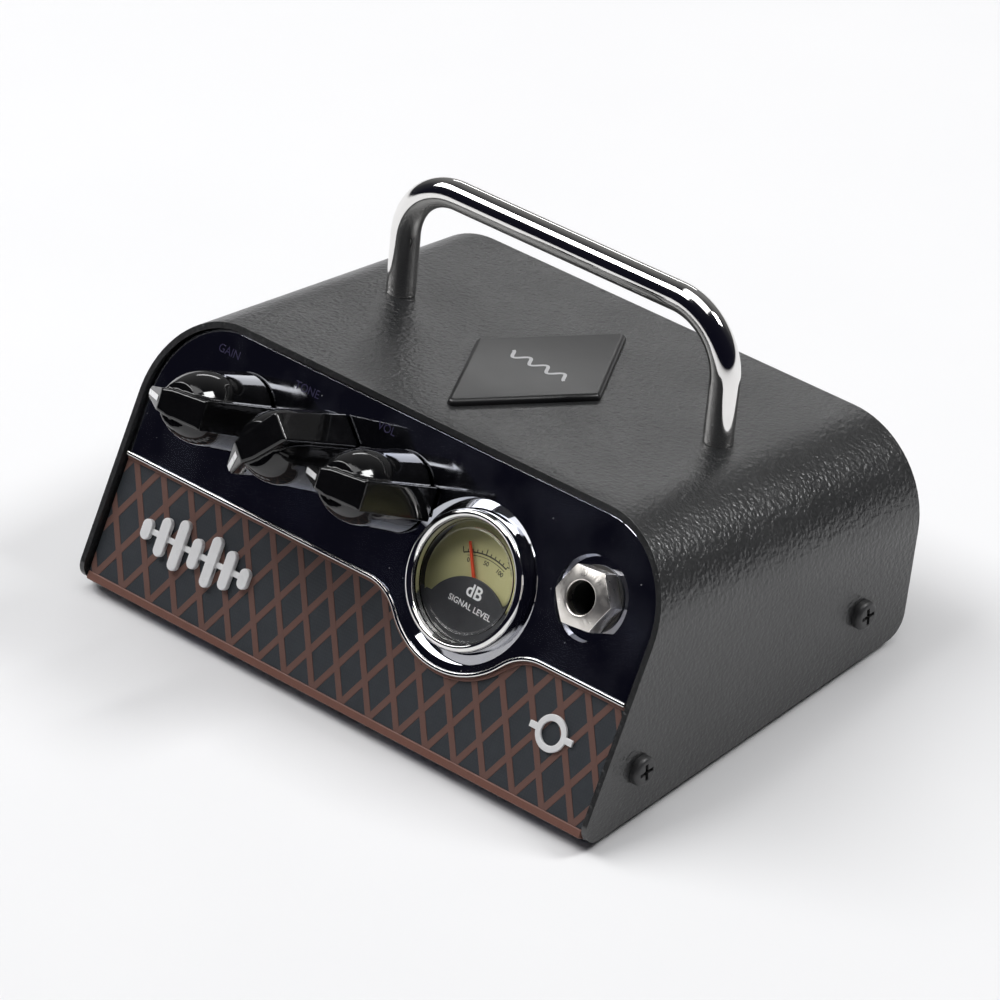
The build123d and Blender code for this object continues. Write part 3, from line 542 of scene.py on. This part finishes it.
COVER = cover_paint()
PANEL = panel_gloss()
CHROME = chrome()
CLOTH = grille_cloth()
BROWN = grille_brown("grille_lines", (0.16, 0.084, 0.068), (0.125, 0.063, 0.05))
PIPING = grille_brown("piping", (0.2, 0.092, 0.068), (0.15, 0.066, 0.048))
WHITE = textured("mark_white", (0.86, 0.86, 0.86), (0.78, 0.78, 0.79), 0.3, 0.6, 0.004, Coat_Weight=0.3)
LABEL = textured("label_print", (0.02, 0.016, 0.05), (0.03, 0.024, 0.07), 0.45, 0.4, 0.002)
PRINT = textured("print_grey", (0.5, 0.5, 0.51), (0.42, 0.42, 0.43), 0.5, 0.4, 0.004)
BADGE_BLACK = badge_paint()
KNOB = knob_gloss()
STEEL = brushed("steel", (0.72, 0.71, 0.69), 0.24)
NUT_STEEL = textured("nut_steel", (0.92, 0.88, 0.83), (0.86, 0.82, 0.76), 0.33, 0.25, 0.002, 1.0)
GREY_METAL = brushed("grey_metal", (0.5, 0.5, 0.5), 0.35)
BLACK_STEEL = textured("black_steel", (0.03, 0.03, 0.031), (0.045, 0.045, 0.046), 0.42, 0.35, 0.015)
GLASS = clear("meter_glass", (0.97, 0.98, 0.97), 0.0, 1.46)
TUBE = clear("tube_glass", (0.86, 0.93, 0.92), 0.02, 1.5)
DIAL = textured("dial_paper", (0.56, 0.53, 0.28), (0.48, 0.45, 0.22), 0.7, 0.5, 0.01)
INK = textured("dial_ink", (0.03, 0.028, 0.022), (0.05, 0.045, 0.035), 0.6, 0.4, 0.003)
MASK = textured("mask_grey", (0.042, 0.042, 0.046), (0.032, 0.032, 0.036), 0.5, 0.3, 0.01)
NEEDLE = textured("needle_red", (0.72, 0.07, 0.02), (0.6, 0.05, 0.015), 0.45, 0.4, 0.004)
BLACK_PLASTIC = textured("black_plastic", (0.012, 0.012, 0.012), (0.02, 0.02, 0.02), 0.42, 0.3, 0.02)
RUBBER = textured("rubber", (0.014, 0.014, 0.014), (0.024, 0.024, 0.024), 0.72, 0.5, 0.04)
BRASS = brushed("brass", (0.72, 0.52, 0.24), 0.28)
BOARD = circuit_board()
ALUMINIUM = brushed("aluminium", (0.62, 0.62, 0.63), 0.36)
CHIP = textured("chip_black", (0.02, 0.02, 0.02), (0.032, 0.032, 0.032), 0.55, 0.2, 0.02)
RIBBON = textured("ribbon_grey", (0.34, 0.34, 0.35), (0.28, 0.28, 0.29), 0.5, 0.5, 0.02, stretch=(14, 1, 1))
SLOT_MATERIALS = {
    "cover_paint": COVER, "panel_gloss": PANEL, "chrome": CHROME, "grille_print": CLOTH, "piping": PIPING,
    "mark_white": WHITE, "knob_gloss": KNOB, "steel": STEEL, "black_steel": BLACK_STEEL, "meter_glass": GLASS,
    "dial_paper": DIAL, "mask_grey": MASK, "needle_red": NEEDLE, "black_plastic": BLACK_PLASTIC,
    "grey_metal": GREY_METAL, "rubber": RUBBER, "brass": BRASS, "circuit_board": BOARD,
    "aluminium": ALUMINIUM, "chip_black": CHIP, "tube_glass": TUBE, "ribbon_grey": RIBBON,
}


# ---------------------------------------------------------------- case

def make_case():
    """Cover, tray, rear plate, front moulding, feet and the outer screws."""
    refined("top_cover", "cover_shell", COVER, edge=0.22, angle=35)
    refined("base_chassis", "base_tray", COVER, edge=0.2, angle=35)
    refined("rear_panel", "rear_plate", COVER, edge=0.2, angle=35)
    refined("front_panel", "front_fascia", PANEL, edge=0.35, segments=4, angle=18)
    refined("feet", "rubber_feet", RUBBER, edge=0.3)
    for node in ("side_screws", "rear_panel_screws"):
        refined(node, f"{node}_heads", BLACK_STEEL, edge=0.1)
    refined("feet_screws", "foot_screw_heads", STEEL, edge=0.1)


def make_handle():
    """Bent chrome rod that leans a little forward, its feet cut flat on the roof."""
    rise = HANDLE_RISE - HANDLE_BEND
    run = HANDLE_HALF - HANDLE_BEND
    foot = -HANDLE_ROD / 2
    line = [(-HANDLE_HALF, foot), (-HANDLE_HALF, 1.0)]
    line += arc_points(-run, rise, HANDLE_BEND, 180, 90, HANDLE_BEND_STEPS)
    line += arc_points(run, rise, HANDLE_BEND, 90, 0, HANDLE_BEND_STEPS)
    line += [(HANDLE_HALF, 1.0), (HANDLE_HALF, foot)]
    bm = sweep([Vector((x, 0, z)) for x, z in line], HANDLE_ROD)
    lean = Matrix.Rotation(radians(HANDLE_LEAN), 4, "X")
    bm.transform(Matrix.Translation((HANDLE_CENTRE, HANDLE_T, 0)) @ lean)
    whole = bm.verts[:] + bm.edges[:] + bm.faces[:]
    bmesh.ops.bisect_plane(bm, geom=whole, plane_co=(0, 0, 0), plane_no=(0, 0, 1), clear_inner=True)
    bmesh.ops.holes_fill(bm, edges=[edge for edge in bm.edges if edge.is_boundary])
    handle = piece("chrome_handle", bm, CHROME, "case", ("handle",), roof)
    round_edges(handle, 0.25, 3, 50)


def diamond(corner, height):
    """Points round the badge's outline, its four corners rounded by a radius more or less than its own."""
    lean = atan2(BADGE_HALF_WIDTH, BADGE_HALF_LENGTH)
    across = BADGE_HALF_WIDTH - BADGE_CORNER / cos(lean)
    along = BADGE_HALF_LENGTH - BADGE_CORNER / sin(lean)
    turn = lean * 180 / pi
    corners = (
        (across, 0, -turn, turn), (0, along, turn, 180 - turn),
        (-across, 0, 180 - turn, 180 + turn), (0, -along, 180 + turn, 360 - turn),
    )
    points = []
    for x, y, start, end in corners:
        points += [(px, py, height) for px, py in arc_points(x, y, corner, start, end, 8)]
    return points


def make_badge():
    """Diamond plate on the roof with a small wave symbol."""
    loops = [diamond(BADGE_CORNER, 0)]
    steps = 6
    for step in range(steps + 1):
        turn = pi / 2 * step / steps
        inset = BADGE_ROUND * (1 - cos(turn))
        loops.append(diamond(BADGE_CORNER - inset, BADGE_TOP - BADGE_ROUND * (1 - sin(turn))))
    bm = bmesh.new()
    rings = [[bm.verts.new(point) for point in loop] for loop in loops]
    for here, there in zip(rings, rings[1:]):
        for index in range(len(here)):
            after = (index + 1) % len(here)
            bm.faces.new((here[index], here[after], there[after], there[index]))
    bm.faces.new(rings[-1])
    bm.faces.new(rings[0][::-1])
    place = roof @ Matrix.Translation((*BADGE, 0))
    piece("roof_badge", bm, BADGE_BLACK, "case", ("top_badge",), place)
    half_length, per_mm, ripple, height = 7.5, 12, 1.45, 1.3
    reach = int(half_length * per_mm)
    wave = [(x / per_mm, height * sin(ripple * x / per_mm)) for x in range(-reach, reach + 1)]
    piece("badge_wave", stroke(wave, 0.7, BADGE_TOP, BADGE_TOP + 0.03), PRINT, place=place)


# ---------------------------------------------------------------- grille

def grille_height(x, inset):
    """Upper edge of the grille at a place across, a distance inside its outline."""
    top = GRILLE_TOP - inset
    dip = DIP_RADIUS + inset
    shoulder = DIP_FILLET - inset
    drop = METER[1] - (GRILLE_TOP - DIP_FILLET)
    reach = sqrt((DIP_RADIUS + DIP_FILLET) ** 2 - drop**2)
    meeting = dip * cos(atan2(drop, reach))
    away = abs(x - METER[0])
    if away >= reach:
        return top
    if away <= meeting:
        return METER[1] - sqrt(dip**2 - away**2)
    return GRILLE_TOP - DIP_FILLET + sqrt(shoulder**2 - (reach - away) ** 2)


def inside_grille(x, s):
    """Whether a place is on the cloth, or just past its lower edge."""
    return abs(x) < GRILLE_HALF - 0.05 and GRILLE_BOTTOM - 0.4 < s < grille_height(x, BORDER)


def runs(x_start, s_start, slope, step=0.05):
    """Stretches of a slanting line that lie on the grille, as pairs of heights."""
    highest = GRILLE_TOP + 2.4
    found, inside = [], False
    for index in range(int(highest / step)):
        s = index * step
        now = inside_grille(x_start + slope * (s - s_start), s)
        if now and not inside:
            first = s
        if inside and not now:
            found.append((first, s))
        inside = now
    return found


def make_lattice():
    """Raised brown lines crossing in diamonds over the cloth."""
    pitch, row, half_row, width = 7.28, 22.9, 6.25, 1.6
    origin, shortest, sunk = -15.0, 0.3, 0.1
    bars = []
    for lean, proud in ((1, 0.08), (-1, 0.1)):
        slope = lean * pitch / 2 / half_row
        for index in range(-9, 14):
            x = origin + index * pitch
            left = runs(x - width / 2, row, slope)
            right = runs(x + width / 2, row, slope)
            for (start_left, end_left), (start_right, end_right) in zip(left, right):
                if min(end_left, end_right) - max(start_left, start_right) < shortest:
                    continue
                corners = []
                for side, s in ((-1, start_left), (1, start_right), (1, end_right), (-1, end_left)):
                    corners.append((x + side * width / 2 + slope * (s - row), s))
                bars.append(prism(corners, GRILLE_FACE - sunk, GRILLE_FACE + proud))
    lattice = piece("grille_lattice", joined(bars), BROWN, place=front, sharp=180)
    round_edges(lattice, 0.07, 2)


def make_grille():
    """Cloth board, lattice, piping, chrome trim and the two raised marks."""
    refined("grille_board", "grille_cloth_board", CLOTH, edge=0.05)
    make_lattice()
    refined("grille_piping", "grille_edging", PIPING, edge=0.22)
    refined("chrome_lip", "chrome_trim", CHROME, edge=0.3, segments=4)
    refined("wave_emblem", "wave_badge", WHITE, edge=0.28)
    refined("side_mark", "ring_mark", WHITE, edge=0.15)


# ---------------------------------------------------------------- meter

def make_meter():
    """Chrome ring, glass, mask with its print, dial and needle."""
    text_low, text_high, text_turn = -2.31, -2.26, -3.0
    ring = [(BEZEL_RADIUS, -BEZEL_SEAT)]
    ring += arc_points(BEZEL_RADIUS - 1.0, 0.2, 1.0, 0, 90, 8, BEZEL_CREST - 0.2)
    ring += arc_points(BEZEL_RADIUS - 1.0, -0.8, 1.0, 90, 180, 10, BEZEL_CREST + 0.8)[1:]
    ring += [(BEZEL_RADIUS - 2.0, -BEZEL_SEAT)]
    piece("bezel_ring", lathe(ring, 144), CHROME, "case", ("meter_bezel",), meter, 50)
    pane = [(0.01, GLASS_FACE)]
    pane += arc_points(GLASS_STEP - 0.8, GLASS_FACE - 0.6, 0.8, 90, 0, 8, 0.75)
    pane += arc_points(GLASS_EDGE - 0.3, GLASS_BACK, 0.3, 90, 0, 4, 1.6)
    pane += [(0.01, GLASS_BACK)]
    piece("dial_window", lathe(pane, 120), GLASS, "case", ("meter_glass",), meter)
    refined("meter_mask", "mask_plate", MASK, edge=0.08)
    refined("meter_dial", "dial_plate", DIAL, edge=0.05)
    refined("meter_needle", "needle_blade", NEEDLE, "needle", edge=0.05)
    make_dial_print()
    texts = [
        lettering("dB", 2.6, 1.5, -1.7, text_low, text_high, text_turn, weight=0.06),
        lettering("SIGNAL LEVEL", 1.2, 1.6, -4.7, text_low, text_high, text_turn, spread=1.04, weight=0.02),
    ]
    piece("mask_print", joined(texts), WHITE, place=meter)


def make_dial_print():
    """Scale of the meter: two arcs, ticks and small numbers."""
    low, high = -4.62, -4.57
    centre = (0.4, -7.6)
    scale_radius, number_radius = 12.8, 11.3
    first, last, ticks = 117, 70, 10
    bands = [
        stroke(arc_points(*centre, scale_radius, first, last, 40), 0.26, low, high),
        stroke(arc_points(*centre, scale_radius - 0.6, first - 4, last, 40), 0.13, low, high),
    ]
    for index in range(ticks + 1):
        turn = radians(first + (last - first) * index / ticks)
        length = 1.1 if index % 5 == 0 else 0.6
        radii = (scale_radius, scale_radius + length)
        ends = [(centre[0] + r * cos(turn), centre[1] + r * sin(turn)) for r in radii]
        bands.append(stroke(ends, 0.2, low, high))
    for text, angle in (("0", 112), ("50", 91), ("100", 73)):
        turn = radians(angle)
        place = (centre[0] + number_radius * cos(turn), centre[1] + number_radius * sin(turn))
        bands.append(lettering(text, 0.9, *place, low, high, angle - 90, weight=0.02))
    piece("dial_print", joined(bands), INK, place=meter)


# ---------------------------------------------------------------- controls

def make_knob(name, heading, column):
    """Pointer knob with its moulded edges softened, and a white line along its nose."""
    node = f"{name}_knob"
    knob = piece(f"{name}_pointer_knob", cad_shape(node), KNOB, name, (node,), sharp=180)
    remesh = knob.modifiers.new("even", "REMESH")
    remesh.mode = "VOXEL"
    remesh.voxel_size = 0.2 * MM
    remesh.use_smooth_shade = True
    soften = knob.modifiers.new("soften", "SMOOTH")
    soften.factor = 0.5
    soften.iterations = 6
    start, end, half_width = 4.2, 9.85, 0.55
    outline = [(start, -half_width), (end, -half_width), (end, half_width), (start, half_width)]
    bm = prism(outline, 0, 0.12)
    for vertex in bm.verts:
        vertex.co.z += KNOB_HEIGHT + PRINT_THICKNESS - (vertex.co.x - POINTER_ROOT) * POINTER_FALL
    place = front @ Matrix.Translation((column, KNOB_S, 0)) @ Matrix.Rotation(radians(heading), 4, "Z")
    line = piece(f"{name}_pointer_line", bm, WHITE, name, (), place)
    round_edges(line, 0.04, 2)


def make_controls():
    """The three knobs with their printed names, and the input jack's nut."""
    columns = [(index - 2) * KNOB_PITCH for index in range(3)]
    for (name, heading), column in zip(KNOB_HEADINGS.items(), columns):
        make_knob(name, heading, column)
    refined("input_nut", "jack_nut", NUT_STEEL, edge=0.15)
    labels = [
        lettering(text, 1.7, column - 7.4, 56.0, PANEL_FACE, PANEL_FACE + PRINT_THICKNESS)
        for text, column in zip(("GAIN", "TONE", "VOL"), columns)
    ]
    piece("panel_print", joined(labels), LABEL, place=front)
    refined("input_washer", "jack_washer", BLACK_STEEL, edge=0.08)


# ---------------------------------------------------------------- rear

def make_rear():
    """Nuts, power inlet, switch levers and the print round them."""
    refined("output_nuts", "rear_jack_nuts", STEEL, edge=0.15)
    refined("dc_inlet", "power_inlet", BLACK_PLASTIC, edge=0.15)
    low, high = REAR_FACE, REAR_FACE + 0.03
    sockets = (("SPEAKER", 46), ("PHONES", 26), ("DC IN", -44))
    switches = (("LEVEL", 6), ("TONE", -8), ("POWER", -24))
    print_shapes = [lettering(text, 1.5, x, -7.4, low, high) for text, x in sockets + switches]
    for _, x in switches:
        for line_x in (x - 5.4, x + 5.4):
            print_shapes.append(stroke([(line_x, -0.2), (line_x, 2.2)], 0.25, low, high))
    piece("rear_print", joined(print_shapes), PRINT, place=rear)
    for name in ("power", "eq", "attenuator"):
        visual = f"{name}_switch_lever"
        refined(f"{name}_lever", visual, BLACK_PLASTIC, f"{name}_slide", edge=0.12)


# ---------------------------------------------------------------- what is left of the CAD

def dress_nodes():
    """Gives every CAD node that still shows the material of its slot."""
    for node in frame["nodes"].values():
        if node.hide_render:
            continue
        for index, material in enumerate(node.data.materials):
            slot = material.name.split(".")[0]
            node.data.materials[index] = SLOT_MATERIALS[slot]


# ---------------------------------------------------------------- studio

def make_floor():
    """Wide round sheet of pale matt paper."""
    bm = bmesh.new()
    bmesh.ops.create_circle(bm, cap_ends=True, segments=96, radius=4.0)
    mesh = bpy.data.meshes.new("studio_floor")
    bm.to_mesh(mesh)
    bm.free()
    material, tree, shader = new_material("studio_floor", (0.8, 0.8, 0.81), 0.9, 0.0, Specular_IOR_Level=0.2)
    paper = noise(tree, coordinates(tree), 60.0, 3.0)
    tree.links.new(blended(tree, paper, (0.79, 0.79, 0.8), (0.82, 0.82, 0.825)), shader.inputs["Base Color"])
    mesh.materials.append(material)
    floor = bpy.data.objects.new("studio_floor", mesh)
    bpy.context.scene.collection.objects.link(floor)


def make_softbox(name, direction, distance, width, height, power, along=(0, 0, 1)):
    """Soft light aimed at the object from a direction, its width laid along another."""
    light = bpy.data.lights.new(name, "AREA")
    light.shape = "RECTANGLE"
    light.size = width
    light.size_y = height
    light.energy = power
    lamp = bpy.data.objects.new(name, light)
    away = Vector(direction).normalized()
    lamp.location = away * distance + Vector((0, 0, LIGHT_AIM_HEIGHT * MM))
    up = away.cross(Vector(along)).normalized()
    lamp.rotation_euler = Matrix((up.cross(away), up, away)).transposed().to_euler()
    lamp.visible_camera = False
    bpy.context.scene.collection.objects.link(lamp)


def make_world():
    """Dark room with a pale wall low down behind the object's left."""
    world = bpy.data.worlds.new("studio")
    bpy.context.scene.world = world
    world.use_nodes = True
    tree = world.node_tree
    background = tree.nodes["Background"]
    source = tree.nodes.new("ShaderNodeTexCoord")
    facing_wall = tree.nodes.new("ShaderNodeVectorMath")
    facing_wall.operation = "DOT_PRODUCT"
    facing_wall.inputs[1].default_value = Vector((-0.45, 0.85, 0.28)).normalized()
    tree.links.new(source.outputs["Generated"], facing_wall.inputs[0])
    ramp = tree.nodes.new("ShaderNodeValToRGB")
    stops = ramp.color_ramp.elements
    stops[0].color = (0.004, 0.004, 0.009, 1)
    stops[1].color = (0.2, 0.2, 0.2, 1)
    stops[1].position = 0.97
    between = ((0.5, (0.008, 0.008, 0.014)), (0.75, (0.03, 0.03, 0.035)), (0.89, (0.12, 0.12, 0.12)))
    for position, shade in between:
        stops.new(position).color = (*shade, 1)
    tree.links.new(ranged(tree, facing_wall.outputs["Value"], -1.0, 1.0), ramp.inputs["Fac"])
    tree.links.new(ramp.outputs["Color"], background.inputs["Color"])
    seen = tree.nodes.new("ShaderNodeBackground")
    seen.inputs["Color"].default_value = (0.82, 0.82, 0.83, 1)
    path = tree.nodes.new("ShaderNodeLightPath")
    mix = tree.nodes.new("ShaderNodeMixShader")
    tree.links.new(path.outputs["Is Camera Ray"], mix.inputs["Fac"])
    tree.links.new(background.outputs["Background"], mix.inputs[1])
    tree.links.new(seen.outputs["Background"], mix.inputs[2])
    tree.links.new(mix.outputs["Shader"], tree.nodes["World Output"].inputs["Surface"])


def make_camera():
    """Long lens, high and to the right of the front."""
    data = bpy.data.cameras.new("camera")
    data.lens = CAMERA_LENS
    data.sensor_width = CAMERA_SENSOR
    data.clip_start = 0.05
    data.clip_end = 30.0
    camera = bpy.data.objects.new("camera", data)
    bpy.context.scene.collection.objects.link(camera)
    camera.location = Vector(CAMERA_PLACE) * MM
    back = Vector(CAMERA_PLACE) - Vector(CAMERA_AIM)
    camera.rotation_euler = back.to_track_quat("Z", "Y").to_euler()
    bpy.context.scene.camera = camera


def make_studio():
    """Floor, room, lights and camera."""
    make_floor()
    make_world()
    make_softbox("key_softbox", (-0.55, -0.25, 0.79), 1.5, 1.4, 0.62, 17, (0.94, -0.4, 0.46))
    make_softbox("back_softbox", (0.477, 0.475, 0.741), 1.5, 0.4, 0.4, 10, (1, 0, 0))
    make_softbox("window_softbox", (-0.5, 0.8, 0.33), 1.6, 0.7, 0.12, 1.2, (0.8, 0.5, 0))
    make_softbox("overhead_softbox", (0, 0.1, 1), 2.2, 1.6, 1.6, 18, (1, 0, 0))
    make_camera()
    bpy.context.scene.view_settings.view_transform = "Standard"


make_case()
make_handle()
make_badge()
make_grille()
make_meter()
make_controls()
make_rear()
dress_nodes()
make_studio()
